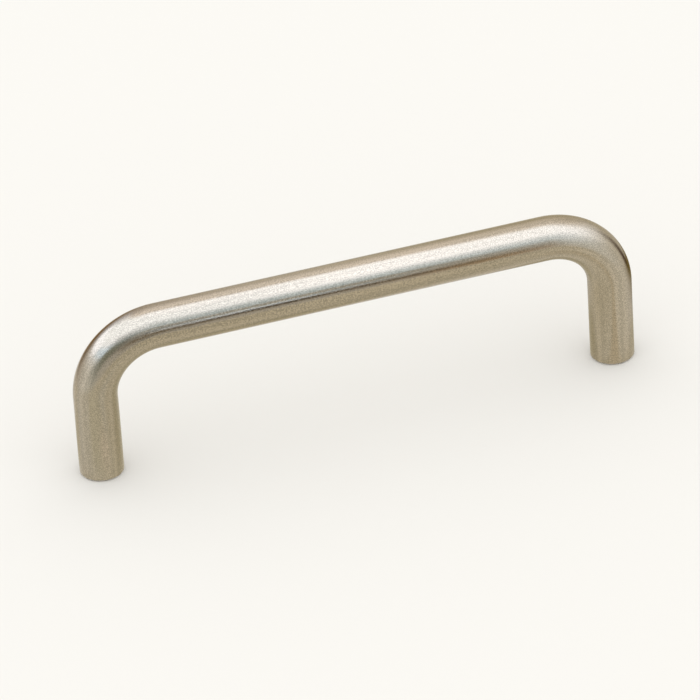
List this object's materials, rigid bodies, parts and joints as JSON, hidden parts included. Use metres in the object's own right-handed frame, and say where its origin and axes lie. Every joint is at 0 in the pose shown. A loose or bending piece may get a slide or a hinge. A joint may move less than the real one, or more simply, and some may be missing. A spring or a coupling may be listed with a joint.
{
  "type": "wire cabinet pull",
  "caption": "Wire cabinet pull: a round metal bar bent down at both ends, with a tapped screw hole up each foot.",
  "frame": {"origin": "midway between the two feet, on the plane of the drawer front that they stand on", "axes": "+X along the grip from one foot to the other, +Z away from the drawer front, +Y across the bar"},
  "size_m": [0.104, 0.008, 0.032],
  "materials": {
    "satin_nickel": "satin brushed nickel plate over steel"
  },
  "bodies": {
    "root": {"pull_bar": "satin_nickel"}
  },
  "joints": []
}
